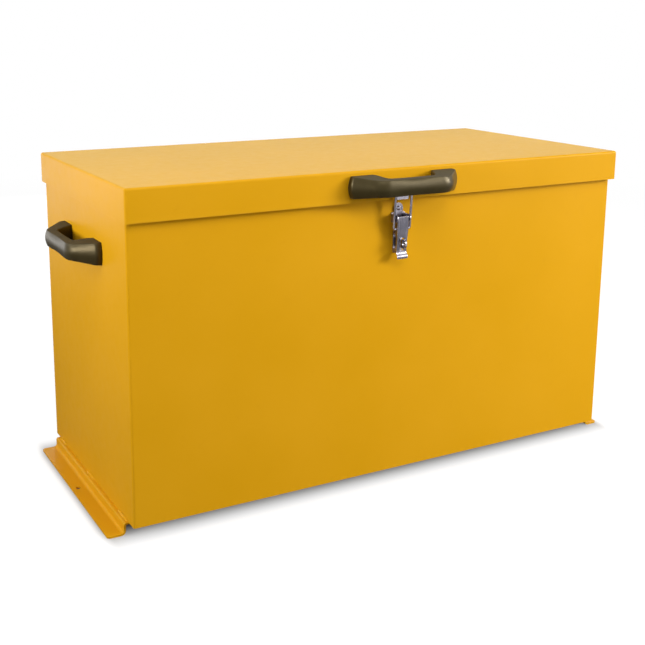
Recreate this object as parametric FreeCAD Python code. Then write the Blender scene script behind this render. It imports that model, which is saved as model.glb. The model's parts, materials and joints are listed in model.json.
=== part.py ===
import FreeCAD, Part
import math
import os

from FreeCAD import Placement, Rotation, Vector

# Site security box: a folded steel chest on floor brackets, with a hinged lid,
# moulded bridge handles, a lockable toggle latch and slotted lid stays.
# Millimetres. +X right, +Y to the rear, +Z up. The origin lies on the floor,
# midway between the two bolt-down holes.

# Whole box
LID_WIDTH = 950.0
LID_DEPTH = 450.0
OVERALL_HEIGHT = 550.0
SHEET = 2.0

# Fits and working allowances
OVERRUN = 5.0
CLOSE = 0.001
PIN_GAP = 0.05
MOVING_GAP = 0.4
HOLE_GAP = 0.25

# Body
SIDE_OVERHANG = 4.0
FRONT_OVERHANG = 12.0
BODY_BEND_R = 4.0
RIM_LIP = 14.0
REAR_RETURN = 20.0
TRAY_UPSTAND = 60.0
TRAY_BEND_R = 4.5

# Lid
SKIRT_HEIGHT = 52.0
LID_BEND_R = 4.0
SEAL_HEIGHT = 6.0
SEAL_WIDTH = 12.0
SEAL_EDGE = 2.0
SEAL_GAP = 0.3
STIFFENER_COUNT = 2
STIFFENER_SPACING = 400.0
STIFFENER_CROWN = 40.0
STIFFENER_FLANGE = 15.0
STIFFENER_DEPTH = 18.0
STIFFENER_SHEET = 1.5
STIFFENER_SIDE_RUN = 6.0
STIFFENER_END_GAP = 25.0

# Feet
FOOT_HEIGHT = 20.0
FOOT_PLATE = 3.0
FOOT_LENGTH = 378.0
FOOT_LEDGE = 7.5
FOOT_FLANGE = 27.0
FOOT_TOP_LEG = 40.0
FOOT_LEDGE_BEND_R = 4.0
FOOT_FLANGE_BEND_R = 5.0
FOOT_CORNER_R = 6.0
BOLT_HOLE_D = 9.0
BOLT_HOLE_EDGE = 11.0
WELD_LEG = 3.4
WELD_LENGTH = 42.0
WELD_INSET = 26.0
WELD_BULGE_SHARE = 0.6

# Rear hinge
HINGE_MARGIN = 25.0
HINGE_LEAF = 2.0
HINGE_LEAF_HEIGHT = 32.0
HINGE_KNUCKLE_D = 9.0
HINGE_PIN_D = 5.0
KNUCKLE_COUNT = 15
KNUCKLE_END_GAP = 0.6
HINGE_RIVET_COUNT = 8
HINGE_RIVET_DROP = 20.0
LID_OPEN_ANGLE = 95.0

# Rivets
RIVET_SHANK_R = 2.0
RIVET_HEAD_R = 4.0
RIVET_HEAD_HEIGHT = 1.9

# Bridge handles
HANDLE_LENGTH = 208.0
HANDLE_PROJECTION = 46.0
HANDLE_FOOT = 48.0
HANDLE_FOOT_HEIGHT = 36.0
HANDLE_GRIP_HEIGHT = 28.0
HANDLE_GRIP_DEPTH = 17.0
HANDLE_TOE = 9.0
HANDLE_TOE_R = 4.0
HANDLE_SHOULDER_INSET = 37.0
HANDLE_SHOULDER_R = 34.0
HANDLE_REACH_INSET = 58.0
HANDLE_REACH_R = 12.0
HANDLE_FOOT_INSET = 18.0
HANDLE_WAIST_INSET = 52.0
HANDLE_WAIST_R = 60.0
HANDLE_OUTER_R = 8.0
HANDLE_INNER_R = 3.0
HANDLE_HOLE_INSET = 14.0
SIDE_HANDLE_DROP = 69.0
INSERT_R = 5.0
INSERT_DEPTH = 13.0
SCREW_R = 3.0
SCREW_REACH = 9.0
SCREW_HEAD_R = 5.25
SCREW_HEAD_HEIGHT = 3.3
SCREW_SOCKET_R = 2.3
SCREW_SOCKET_DEPTH = 1.8
WASHER_R = 7.5
WASHER_SHEET = 1.5

# Toggle latch
LATCH_PLATE = 2.0
LATCH_TAB_WIDTH = 18.0
LATCH_TAB_RISE = 24.0
LATCH_FOOT_DROP = 60.0
LATCH_FOOT_R = 3.0
LATCH_SHOULDER_R = 2.0
EAR_SHEET = 1.8
EAR_R = 6.5
PIVOT_DROP = 32.0
PIVOT_OUT = 14.0
PIVOT_R = 2.5
LATCH_RIVET_RISE = 15.0
LATCH_RIVET_DROP = 26.0
LEVER_WIDTH = 22.0
LEVER_SHEET = 1.6
LEVER_FACE = 4.6
LEVER_TOP = 3.5
LEVER_LENGTH = 60.0
LEVER_LIP_LENGTH = 9.0
LEVER_LIP_FLARE = 6.0
LEVER_EYE_R = 6.0
LEVER_MID_DROP = 22.0
LEVER_MID_CHEEK = 8.0
LEVER_END_CHEEK = 4.5
LEVER_BEND_R = 3.0
LEVER_TILT_ANGLE = 4.0
LEVER_SLOT_WIDTH = 7.0
LEVER_SLOT_TOP = 33.0
LEVER_SLOT_BOTTOM = 54.0
BAIL_R = 2.0
BAIL_WIDTH = 31.5
BAIL_ARM = 18.0
BAIL_INSET = 1.5
BAIL_LENGTH = 69.0
BAIL_TOP_OUT = 17.5
BAIL_CORNER_R = 4.0
BAIL_HOOK_R = 3.0
BAIL_HOOK_PAST = 1.4
STAPLE_SHEET = 3.0
STAPLE_OUT = 27.0
STAPLE_TOP = 35.0
STAPLE_HEIGHT = 15.0
STAPLE_NOSE_R = 6.0
STAPLE_EYE_R = 3.5
STAPLE_EYE_EDGE = 6.5

# Strike ledge on the lid
STRIKE_WIDTH = 22.0
STRIKE_SHEET = 2.0
STRIKE_PLATE_DROP = 17.0
STRIKE_LIP_REACH = 6.0
STRIKE_LIP_RISE = 1.0
STRIKE_RIVET_SPACING = 14.0
STRIKE_RIVET_DROP = 7.0
STRIKE_RIVET_HEAD_R = 3.2
STRIKE_RIVET_HEAD_HEIGHT = 1.2
STRIKE_RIVET_SHANK_R = 1.6

# Lid stays
STAY_REACH = 181.0
STAY_RISE = 15.0
STAY_SPREAD_ANGLE = 50.0
STAY_SHEET = 3.0
STAY_WIDTH = 20.0
STAY_END_MARGIN = 14.0
STAY_LIP_GAP = 5.0
STAY_PIVOT_R = 3.0
STAY_PIVOT_HEAD_R = 6.0
STAY_PIVOT_HEAD_HEIGHT = 2.2
STUD_R = 4.0
STUD_BARREL_R = 6.5
STUD_FLANGE_R = 11.0
STUD_FLANGE_SHEET = 3.0
STUD_HEAD_R = 8.0
STUD_HEAD_HEIGHT = 3.0
BRACKET_SHEET = 3.0
BRACKET_WIDTH = 26.0
BRACKET_FLANGE = 30.0
BRACKET_EYE_R = 11.0

# Places worked out from the sizes above
hinge_room = HINGE_KNUCKLE_D + 2 * MOVING_GAP
rear_overhang = SHEET + hinge_room
body_half_width = LID_WIDTH / 2 - SIDE_OVERHANG
body_depth = LID_DEPTH - FRONT_OVERHANG - rear_overhang
front_y = -body_depth / 2
rear_y = body_depth / 2
lid_front_y = front_y - FRONT_OVERHANG
lid_rear_y = rear_y + rear_overhang
skirt_z = OVERALL_HEIGHT - SKIRT_HEIGHT
lid_under_z = OVERALL_HEIGHT - SHEET
rim_z = lid_under_z - SEAL_HEIGHT - SEAL_GAP
skirt_middle_z = skirt_z + SKIRT_HEIGHT / 2
hinge_y = rear_y + MOVING_GAP + HINGE_KNUCKLE_D / 2
hinge_z = skirt_z
pivot_z = skirt_z - PIVOT_DROP
bail_pivot_z = pivot_z - BAIL_ARM
bail_pivot_out = PIVOT_OUT - BAIL_INSET
bail_top_z = bail_pivot_z + BAIL_LENGTH
ledge_z = bail_top_z - BAIL_R - MOVING_GAP
ear_inside = LEVER_WIDTH / 2 + MOVING_GAP
ear_outside = ear_inside + EAR_SHEET
stay_outer_x = body_half_width - RIM_LIP - STAY_LIP_GAP
stay_inner_x = stay_outer_x - STAY_SHEET

X_AXIS = Vector(1, 0, 0)
Y_AXIS = Vector(0, 1, 0)
Z_AXIS = Vector(0, 0, 1)
SIDES = {"left": -1, "right": 1}


# Shape helpers
def block(low, high):
    size = high - low
    return Part.makeBox(size.x, size.y, size.z, low)


def bar(start, end, radius):
    run = end - start
    return Part.makeCylinder(radius, run.Length, start, run)


def dome(base, direction, radius, height):
    ball = (radius ** 2 + height ** 2) / (2 * height)
    below = ball - height
    latitude = math.degrees(math.asin(below / ball))
    return Part.makeSphere(ball, base - direction * below, direction, latitude, 90, 360)


def join(shapes):
    return shapes[0].multiFuse(shapes[1:]).removeSplitter()


def group(shapes):
    return Part.makeCompound(shapes)


def is_upright(edge):
    first, last = edge.Vertexes[0].Point, edge.Vertexes[-1].Point
    return math.hypot(first.x - last.x, first.y - last.y) < CLOSE


def is_level(edge, height):
    return all(abs(vertex.Z - height) < CLOSE for vertex in edge.Vertexes)


def pan(low, high, radius):
    """A block with its upright and top edges rounded."""
    shape = block(low, high)
    edges = [e for e in shape.Edges if is_upright(e) or is_level(e, high.z)]
    return shape.makeFillet(radius, edges)


def outline(corners, place):
    """A flat face from corners (u, v, radius), set in space by place(u, v)."""
    points = [Vector(u, v, 0) for u, v, radius in corners]
    edges = []
    path = []
    for index, (u, v, radius) in enumerate(corners):
        here = points[index]
        if radius == 0:
            path.append((here, None, here))
            continue
        back = (points[index - 1] - here).normalize()
        ahead = (points[(index + 1) % len(points)] - here).normalize()
        half = back.getAngle(ahead) / 2
        inward = (back + ahead).normalize()
        middle = here + inward * (radius / math.sin(half) - radius)
        setback = radius / math.tan(half)
        path.append((here + back * setback, middle, here + ahead * setback))
    for index, (start, middle, end) in enumerate(path):
        if middle is not None:
            edges.append(Part.Arc(*[place(p.x, p.y) for p in (start, middle, end)]).toShape())
        following = path[(index + 1) % len(path)][0]
        if (following - end).Length > CLOSE:
            edges.append(Part.LineSegment(place(end.x, end.y), place(following.x, following.y)).toShape())
    return Part.Face(Part.Wire(edges))


def rivet(outer, inner, shank_r, head_r, head_height):
    """A solid rivet with a domed head on each face of the sheets it joins."""
    direction = (outer - inner).normalize()
    heads = [dome(outer, direction, head_r, head_height), dome(inner, -direction, head_r, head_height)]
    return join([bar(inner, outer, shank_r)] + heads)


def front_side(x):
    """Maps (distance out from the front panel, height) to the plane at x."""
    return lambda out, height: Vector(x, front_y - out, height)


# Handle sets: a moulded bridge with threaded inserts, screws and washers.
# Each is made lying on the plane y = 0, standing out along -Y, and then placed.
def handle_hole_points():
    along = HANDLE_LENGTH / 2 - HANDLE_HOLE_INSET
    return [Vector(side * along, 0, 0) for side in SIDES.values()]


def bridge_handle():
    half = HANDLE_LENGTH / 2
    sole = half - HANDLE_FOOT
    shoulder = half - HANDLE_SHOULDER_INSET
    reach = half - HANDLE_REACH_INSET
    under_grip = HANDLE_PROJECTION - HANDLE_GRIP_DEPTH
    plan = [
        (-half, 0, 0),
        (-half, HANDLE_TOE, HANDLE_TOE_R),
        (-shoulder, HANDLE_PROJECTION, HANDLE_SHOULDER_R),
        (shoulder, HANDLE_PROJECTION, HANDLE_SHOULDER_R),
        (half, HANDLE_TOE, HANDLE_TOE_R),
        (half, 0, 0),
        (sole, 0, 0),
        (reach, under_grip, HANDLE_REACH_R),
        (-reach, under_grip, HANDLE_REACH_R),
        (-sole, 0, 0),
    ]
    foot_z = HANDLE_FOOT_HEIGHT / 2
    grip_z = HANDLE_GRIP_HEIGHT / 2
    foot_x = half - HANDLE_FOOT_INSET
    waist_x = half - HANDLE_WAIST_INSET
    low_edge = [
        (-half, -foot_z, 0),
        (-foot_x, -foot_z, HANDLE_WAIST_R),
        (-waist_x, -grip_z, HANDLE_WAIST_R),
        (waist_x, -grip_z, HANDLE_WAIST_R),
        (foot_x, -foot_z, HANDLE_WAIST_R),
        (half, -foot_z, 0),
    ]
    high_edge = [(-x, -z, radius) for x, z, radius in low_edge]
    bow = outline(plan, lambda x, out: Vector(x, -out, -foot_z)).extrude(Z_AXIS * HANDLE_FOOT_HEIGHT)
    waist = outline(low_edge + high_edge, lambda x, z: Vector(x, 0, z)).extrude(-Y_AXIS * HANDLE_PROJECTION)
    handle = bow.common(waist)
    for radius, chosen in ((HANDLE_OUTER_R, is_outer_rim), (HANDLE_INNER_R, is_inner_rim)):
        handle = handle.makeFillet(radius, [e for e in handle.Edges if chosen(e)])
    bores = [bar(p, p - Y_AXIS * INSERT_DEPTH, INSERT_R + PIN_GAP) for p in handle_hole_points()]
    return handle.cut(bores)


def is_rim(edge):
    """A long edge along the bow, clear of the sole and of the seams across it."""
    first, last = edge.Vertexes[0].Point, edge.Vertexes[-1].Point
    return min(first.y, last.y) < -CLOSE and abs(first.x - last.x) > CLOSE


def is_outside(edge):
    middle = edge.CenterOfMass
    beyond_sole = abs(middle.x) > HANDLE_LENGTH / 2 - HANDLE_FOOT
    return beyond_sole or -middle.y > HANDLE_PROJECTION - HANDLE_GRIP_DEPTH + CLOSE


def is_outer_rim(edge):
    return is_rim(edge) and is_outside(edge)


def is_inner_rim(edge):
    level = abs(edge.Vertexes[0].Z - edge.Vertexes[-1].Z) < HANDLE_FOOT_HEIGHT - HANDLE_GRIP_HEIGHT
    return is_rim(edge) and not is_outside(edge) and level


def handle_insert(point):
    sleeve = bar(point, point - Y_AXIS * INSERT_DEPTH, INSERT_R)
    return sleeve.cut(bar(point, point - Y_AXIS * (SCREW_REACH + HOLE_GAP), SCREW_R + PIN_GAP))


def handle_screw(point):
    seat = point + Y_AXIS * (SHEET + WASHER_SHEET)
    top = seat + Y_AXIS * SCREW_HEAD_HEIGHT
    shank = bar(point - Y_AXIS * SCREW_REACH, seat, SCREW_R)
    head = dome(seat, Y_AXIS, SCREW_HEAD_R, SCREW_HEAD_HEIGHT)
    corners = [Rotation(Y_AXIS, 60 * k).multVec(X_AXIS * SCREW_SOCKET_R) + top for k in range(7)]
    socket = Part.Face(Part.makePolygon(corners)).extrude(-Y_AXIS * SCREW_SOCKET_DEPTH)
    return join([shank, head]).cut(socket)


def handle_washer(point):
    seat = point + Y_AXIS * SHEET
    disc = bar(seat, seat + Y_AXIS * WASHER_SHEET, WASHER_R)
    return disc.cut(bar(seat, seat + Y_AXIS * WASHER_SHEET, SCREW_R + HOLE_GAP))


def handle_set(name, placement):
    points = handle_hole_points()
    pieces = {
        name: bridge_handle(),
        name + "_inserts": group([handle_insert(p) for p in points]),
        name + "_screws": group([handle_screw(p) for p in points]),
        name + "_washers": group([handle_washer(p) for p in points]),
    }
    for shape in pieces.values():
        shape.Placement = placement
    return pieces


def handle_holes(placement):
    depth = Y_AXIS * (SHEET + OVERRUN)
    holes = [bar(p - Y_AXIS * OVERRUN, p + depth, SCREW_R + HOLE_GAP) for p in handle_hole_points()]
    cutter = group(holes)
    cutter.Placement = placement
    return cutter


def side_handle_place(side):
    height = skirt_z - SIDE_HANDLE_DROP
    return Placement(Vector(side * body_half_width, 0, height), Rotation(Z_AXIS, side * 90))


LID_HANDLE_PLACE = Placement(Vector(0, lid_front_y, skirt_middle_z), Rotation())


# Body shell, split into the folded wrapper and the rear panel
def body_ring():
    outer = pan(
        Vector(-body_half_width, front_y, FOOT_HEIGHT), Vector(body_half_width, rear_y, rim_z), BODY_BEND_R
    )
    wall = Vector(SHEET, SHEET, 0)
    cavity = pan(
        Vector(-body_half_width, front_y, FOOT_HEIGHT - OVERRUN) + wall,
        Vector(body_half_width, rear_y, rim_z - SHEET) - wall,
        BODY_BEND_R - SHEET,
    )
    lip = Vector(RIM_LIP, RIM_LIP, 0)
    mouth = pan(
        Vector(-body_half_width, front_y, FOOT_HEIGHT) + lip,
        Vector(body_half_width, rear_y, rim_z + OVERRUN) - lip,
        BODY_BEND_R,
    )
    return outer.cut([cavity, mouth])


def rear_zone():
    half = body_half_width - REAR_RETURN
    return block(Vector(-half, rear_y - RIM_LIP, 0), Vector(half, rear_y + OVERRUN, OVERALL_HEIGHT))


def latch_rivet_points():
    return [Vector(0, front_y, z) for z in (pivot_z + LATCH_RIVET_RISE, pivot_z - LATCH_RIVET_DROP)]


def body_wrapper():
    holes = [handle_holes(side_handle_place(side)) for side in SIDES.values()]
    for point in latch_rivet_points():
        through = Y_AXIS * (SHEET + OVERRUN)
        holes.append(bar(point - Y_AXIS * OVERRUN, point + through, RIVET_SHANK_R + PIN_GAP))
    return body_ring().cut(rear_zone()).cut(holes)


def rear_panel():
    panel = body_ring().common(rear_zone())
    return panel.cut([hinge_rivet_hole(p) for p in hinge_rivet_points(-1)])


def base_tray():
    edge = Vector(SHEET, SHEET, 0)
    low = Vector(-body_half_width, front_y, FOOT_HEIGHT) + edge
    high = Vector(body_half_width, rear_y, FOOT_HEIGHT + TRAY_UPSTAND) - edge
    wall = Vector(SHEET, SHEET, SHEET)
    over = Vector(SHEET, SHEET, -OVERRUN)
    outer = tray_block(low, high, TRAY_BEND_R)
    return outer.cut(tray_block(low + wall, high - over, TRAY_BEND_R - SHEET))


def tray_block(low, high, radius):
    shape = block(low, high)
    edges = [e for e in shape.Edges if is_upright(e) or is_level(e, low.z)]
    return shape.makeFillet(radius, edges)


# Floor brackets and their stitch welds
def foot_section():
    ledge_x = body_half_width + FOOT_LEDGE
    web_x = ledge_x - FOOT_PLATE
    under_x = ledge_x - FOOT_TOP_LEG
    flange_x = ledge_x + FOOT_FLANGE
    top_under_z = FOOT_HEIGHT - FOOT_PLATE
    return [
        (under_x, FOOT_HEIGHT, 0),
        (ledge_x, FOOT_HEIGHT, FOOT_LEDGE_BEND_R),
        (ledge_x, FOOT_PLATE, FOOT_FLANGE_BEND_R),
        (flange_x, FOOT_PLATE, 0),
        (flange_x, 0, 0),
        (web_x, 0, FOOT_FLANGE_BEND_R + FOOT_PLATE),
        (web_x, top_under_z, FOOT_LEDGE_BEND_R - FOOT_PLATE),
        (under_x, top_under_z, 0),
    ]


def bolt_hole_x():
    return body_half_width + FOOT_LEDGE + FOOT_FLANGE - BOLT_HOLE_EDGE


def foot(side):
    flange_x = body_half_width + FOOT_LEDGE + FOOT_FLANGE
    start_y = -FOOT_LENGTH / 2
    section = outline(foot_section(), lambda x, z: Vector(side * x, start_y, z))
    bracket = section.extrude(Y_AXIS * FOOT_LENGTH)
    corners = [e for e in bracket.Edges if is_upright(e) and abs(abs(e.Vertexes[0].X) - flange_x) < CLOSE]
    bracket = bracket.makeFillet(FOOT_CORNER_R, corners)
    centre = Vector(side * bolt_hole_x(), 0, -OVERRUN)
    return bracket.cut(bar(centre, centre + Z_AXIS * (FOOT_PLATE + 2 * OVERRUN), BOLT_HOLE_D / 2))


def weld_bead(side, middle_y):
    def at(out, up):
        return Vector(side * (body_half_width + out), middle_y - WELD_LENGTH / 2, FOOT_HEIGHT + up)

    bulge = WELD_LEG * WELD_BULGE_SHARE
    edges = [
        Part.LineSegment(at(0, 0), at(WELD_LEG, 0)).toShape(),
        Part.Arc(at(WELD_LEG, 0), at(bulge, bulge), at(0, WELD_LEG)).toShape(),
        Part.LineSegment(at(0, WELD_LEG), at(0, 0)).toShape(),
    ]
    return Part.Face(Part.Wire(edges)).extrude(Y_AXIS * WELD_LENGTH)


def foot_welds():
    end_y = FOOT_LENGTH / 2 - WELD_INSET
    return group([weld_bead(side, y) for side in SIDES.values() for y in (-end_y, 0, end_y)])


# Continuous hinge: direction is -1 for the box leaf, which hangs down from the
# pin on the rear panel, and 1 for the lid leaf, which stands up inside the skirt.
def hinge_half_length():
    return body_half_width - HINGE_MARGIN


def knuckle_spans(direction):
    pitch = 2 * hinge_half_length() / KNUCKLE_COUNT
    first = 0 if direction < 0 else 1
    starts = [-hinge_half_length() + pitch * k for k in range(first, KNUCKLE_COUNT, 2)]
    return [(start + KNUCKLE_END_GAP / 2, start + pitch - KNUCKLE_END_GAP / 2) for start in starts]


def hinge_point(x):
    return Vector(x, hinge_y, hinge_z)


def hinge_leaf(direction):
    half = hinge_half_length()
    radius = HINGE_KNUCKLE_D / 2
    seat_y = rear_y if direction < 0 else lid_rear_y - SHEET
    free_y = seat_y - direction * HINGE_LEAF
    tip_z = hinge_z + direction * HINGE_LEAF_HEIGHT
    low = Vector(-half, min(seat_y, free_y), min(hinge_z, tip_z))
    high = Vector(half, max(seat_y, free_y), max(hinge_z, tip_z))
    room = radius + MOVING_GAP
    notches = []
    for start, end in knuckle_spans(-direction):
        reach = Vector(0, room, room)
        past = Vector(KNUCKLE_END_GAP, 0, 0)
        notches.append(block(hinge_point(start) - reach - past, hinge_point(end) + reach + past))
    knuckles = []
    for start, end in knuckle_spans(direction):
        knuckles.append(bar(hinge_point(start), hinge_point(end), radius))
        web_low = Vector(start, min(seat_y, hinge_y), hinge_z - radius / 2)
        web_high = Vector(end, max(seat_y, hinge_y), hinge_z + radius / 2)
        knuckles.append(block(web_low, web_high).common(block(low, high)))
    leaf = join([block(low, high).cut(notches)] + knuckles)
    bore = bar(hinge_point(-half - OVERRUN), hinge_point(half + OVERRUN), HINGE_PIN_D / 2 + PIN_GAP)
    holes = [hinge_rivet_hole(p) for p in hinge_rivet_points(direction)]
    return leaf.cut([bore] + holes)


def hinge_pin():
    half = hinge_half_length()
    return bar(hinge_point(-half), hinge_point(half), HINGE_PIN_D / 2)


def hinge_rivet_points(direction):
    """Points on the rear face of the sheet that the leaf is riveted to."""
    pitch = 2 * hinge_half_length() / HINGE_RIVET_COUNT
    first_x = -hinge_half_length() + pitch / 2
    face_y = rear_y if direction < 0 else lid_rear_y
    height = hinge_z + direction * HINGE_RIVET_DROP
    return [Vector(first_x + pitch * k, face_y, height) for k in range(HINGE_RIVET_COUNT)]


def hinge_rivet_hole(point):
    reach = Y_AXIS * (SHEET + HINGE_LEAF + OVERRUN)
    return bar(point - reach, point + reach, RIVET_SHANK_R + PIN_GAP)


def hinge_rivets(direction):
    rivets = []
    for point in hinge_rivet_points(direction):
        outer = point + Y_AXIS * (HINGE_LEAF if direction < 0 else 0)
        inner = outer - Y_AXIS * (SHEET + HINGE_LEAF)
        rivets.append(rivet(outer, inner, RIVET_SHANK_R, RIVET_HEAD_R, RIVET_HEAD_HEIGHT))
    return group(rivets)


# Lid
def lid_pan():
    half = LID_WIDTH / 2
    outer = pan(Vector(-half, lid_front_y, skirt_z), Vector(half, lid_rear_y, OVERALL_HEIGHT), LID_BEND_R)
    wall = Vector(SHEET, SHEET, 0)
    inner = pan(
        Vector(-half, lid_front_y, skirt_z - OVERRUN) + wall,
        Vector(half, lid_rear_y, lid_under_z) - wall,
        LID_BEND_R - SHEET,
    )
    holes = [handle_holes(LID_HANDLE_PLACE)]
    holes += [hinge_rivet_hole(p) for p in hinge_rivet_points(1)]
    for point in strike_rivet_points():
        through = Y_AXIS * (SHEET + OVERRUN)
        holes.append(bar(point - Y_AXIS * OVERRUN, point + through, STRIKE_RIVET_SHANK_R + PIN_GAP))
    return outer.cut(inner).cut(holes)


def lid_stiffeners():
    crown = STIFFENER_CROWN / 2
    brim = crown + STIFFENER_SIDE_RUN
    edge = brim + STIFFENER_FLANGE
    low = lid_under_z - STIFFENER_DEPTH
    flange = lid_under_z - STIFFENER_SHEET
    right = [(edge, lid_under_z), (edge, flange), (brim, flange), (crown, low)]
    inner_brim = brim - STIFFENER_SHEET
    inner_crown = crown - STIFFENER_SHEET
    inside = [(inner_crown, low + STIFFENER_SHEET), (inner_brim, lid_under_z)]
    section = right + [(-x, z) for x, z in reversed(right)]
    section += [(-x, z) for x, z in reversed(inside)] + inside
    start_y = front_y + RIM_LIP + STIFFENER_END_GAP
    length = body_depth - 2 * (RIM_LIP + STIFFENER_END_GAP)
    hats = []
    for k in range(STIFFENER_COUNT):
        middle_x = (k - (STIFFENER_COUNT - 1) / 2) * STIFFENER_SPACING
        corners = [(middle_x + x, z, 0) for x, z in section]
        hats.append(outline(corners, lambda x, z: Vector(x, start_y, z)).extrude(Y_AXIS * length))
    return group(hats)


def lid_seal():
    low_z = lid_under_z - SEAL_HEIGHT
    edge = Vector(SEAL_EDGE, SEAL_EDGE, 0)
    outer = block(
        Vector(-body_half_width, front_y, low_z) + edge, Vector(body_half_width, rear_y, lid_under_z) - edge
    )
    band = Vector(SEAL_EDGE + SEAL_WIDTH, SEAL_EDGE + SEAL_WIDTH, 0)
    inner = block(
        Vector(-body_half_width, front_y, low_z) + band, Vector(body_half_width, rear_y, lid_under_z) - band
    )
    return outer.cut(inner)


# Strike ledge that the bail pulls down on
def strike_rivet_points():
    height = ledge_z - STRIKE_RIVET_DROP
    return [Vector(side * STRIKE_RIVET_SPACING / 2, lid_front_y, height) for side in SIDES.values()]


def strike_ledge():
    back = FRONT_OVERHANG
    face = back + STRIKE_SHEET
    lip_in = BAIL_TOP_OUT + STRIKE_LIP_REACH
    lip_out = lip_in + STRIKE_SHEET
    low_z = ledge_z - STRIKE_PLATE_DROP
    under_z = ledge_z - STRIKE_SHEET
    section = [
        (back, low_z, 0),
        (face, low_z, 0),
        (face, under_z, 0),
        (lip_out, under_z, STRIKE_SHEET / 2),
        (lip_out, ledge_z + STRIKE_LIP_RISE, STRIKE_SHEET / 4),
        (lip_in, ledge_z + STRIKE_LIP_RISE, STRIKE_SHEET / 4),
        (lip_in, ledge_z, 0),
        (back, ledge_z, 0),
    ]
    ledge = outline(section, front_side(-STRIKE_WIDTH / 2)).extrude(X_AXIS * STRIKE_WIDTH)
    through = Y_AXIS * (STRIKE_SHEET + OVERRUN)
    hole_r = STRIKE_RIVET_SHANK_R + PIN_GAP
    return ledge.cut([bar(p - through, p + through, hole_r) for p in strike_rivet_points()])


def strike_rivets():
    rivets = []
    for point in strike_rivet_points():
        outer = point - Y_AXIS * STRIKE_SHEET
        inner = point + Y_AXIS * SHEET
        sizes = (STRIKE_RIVET_SHANK_R, STRIKE_RIVET_HEAD_R, STRIKE_RIVET_HEAD_HEIGHT)
        rivets.append(rivet(outer, inner, *sizes))
    return group(rivets)


# Toggle latch
def latch_base():
    tab = LATCH_TAB_WIDTH / 2
    top_z = pivot_z + LATCH_TAB_RISE
    low_z = pivot_z - LATCH_FOOT_DROP
    shoulder_z = pivot_z + EAR_R
    hip_z = pivot_z - EAR_R
    right = [
        (tab, low_z, LATCH_FOOT_R),
        (tab, hip_z - LATCH_SHOULDER_R, LATCH_SHOULDER_R),
        (ear_outside, hip_z - LATCH_SHOULDER_R, LATCH_SHOULDER_R),
        (ear_outside, shoulder_z + LATCH_SHOULDER_R, LATCH_SHOULDER_R),
        (tab, shoulder_z + LATCH_SHOULDER_R, LATCH_SHOULDER_R),
        (tab, top_z, tab - CLOSE),
    ]
    left = [(-x, z, radius) for x, z, radius in reversed(right)]
    plate = outline(right + left, lambda x, z: Vector(x, front_y, z)).extrude(-Y_AXIS * LATCH_PLATE)
    shapes = [plate]
    for side in SIDES.values():
        corners = [
            (0, pivot_z - EAR_R, 0),
            (PIVOT_OUT + EAR_R, pivot_z - EAR_R, EAR_R - CLOSE),
            (PIVOT_OUT + EAR_R, pivot_z + EAR_R, EAR_R - CLOSE),
            (0, pivot_z + EAR_R, 0),
        ]
        inner_x = side * ear_inside
        shapes.append(outline(corners, front_side(inner_x)).extrude(X_AXIS * side * EAR_SHEET))
    pivot_end = X_AXIS * (ear_outside + OVERRUN)
    cuts = [bar(pivot_point() - pivot_end, pivot_point() + pivot_end, PIVOT_R + PIN_GAP)]
    for point in latch_rivet_points():
        reach = Y_AXIS * (LATCH_PLATE + OVERRUN)
        cuts.append(bar(point - reach, point + reach, RIVET_SHANK_R + PIN_GAP))
    return join(shapes).cut(cuts)


def pivot_point():
    return Vector(0, front_y - PIVOT_OUT, pivot_z)


def bail_pivot_point():
    return Vector(0, front_y - bail_pivot_out, bail_pivot_z)


def latch_rivets():
    rivets = []
    for point in latch_rivet_points():
        outer = point - Y_AXIS * LATCH_PLATE
        inner = point + Y_AXIS * SHEET
        rivets.append(rivet(outer, inner, RIVET_SHANK_R, RIVET_HEAD_R, RIVET_HEAD_HEIGHT))
    return group(rivets)


def lever_pivot_pin():
    end = X_AXIS * ear_outside
    return bar(pivot_point() - end, pivot_point() + end, PIVOT_R)


def padlock_staple():
    low_z = pivot_z - STAPLE_TOP - STAPLE_HEIGHT
    high_z = pivot_z - STAPLE_TOP
    corners = [
        (LATCH_PLATE, low_z, 0),
        (STAPLE_OUT, low_z, STAPLE_NOSE_R),
        (STAPLE_OUT, high_z, STAPLE_NOSE_R),
        (LATCH_PLATE, high_z, 0),
    ]
    tongue = outline(corners, front_side(-STAPLE_SHEET / 2)).extrude(X_AXIS * STAPLE_SHEET)
    eye_out = STAPLE_OUT - STAPLE_EYE_EDGE
    eye = Vector(0, front_y - eye_out, low_z + STAPLE_HEIGHT / 2)
    return tongue.cut(bar(eye - X_AXIS * OVERRUN, eye + X_AXIS * OVERRUN, STAPLE_EYE_R))


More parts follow.
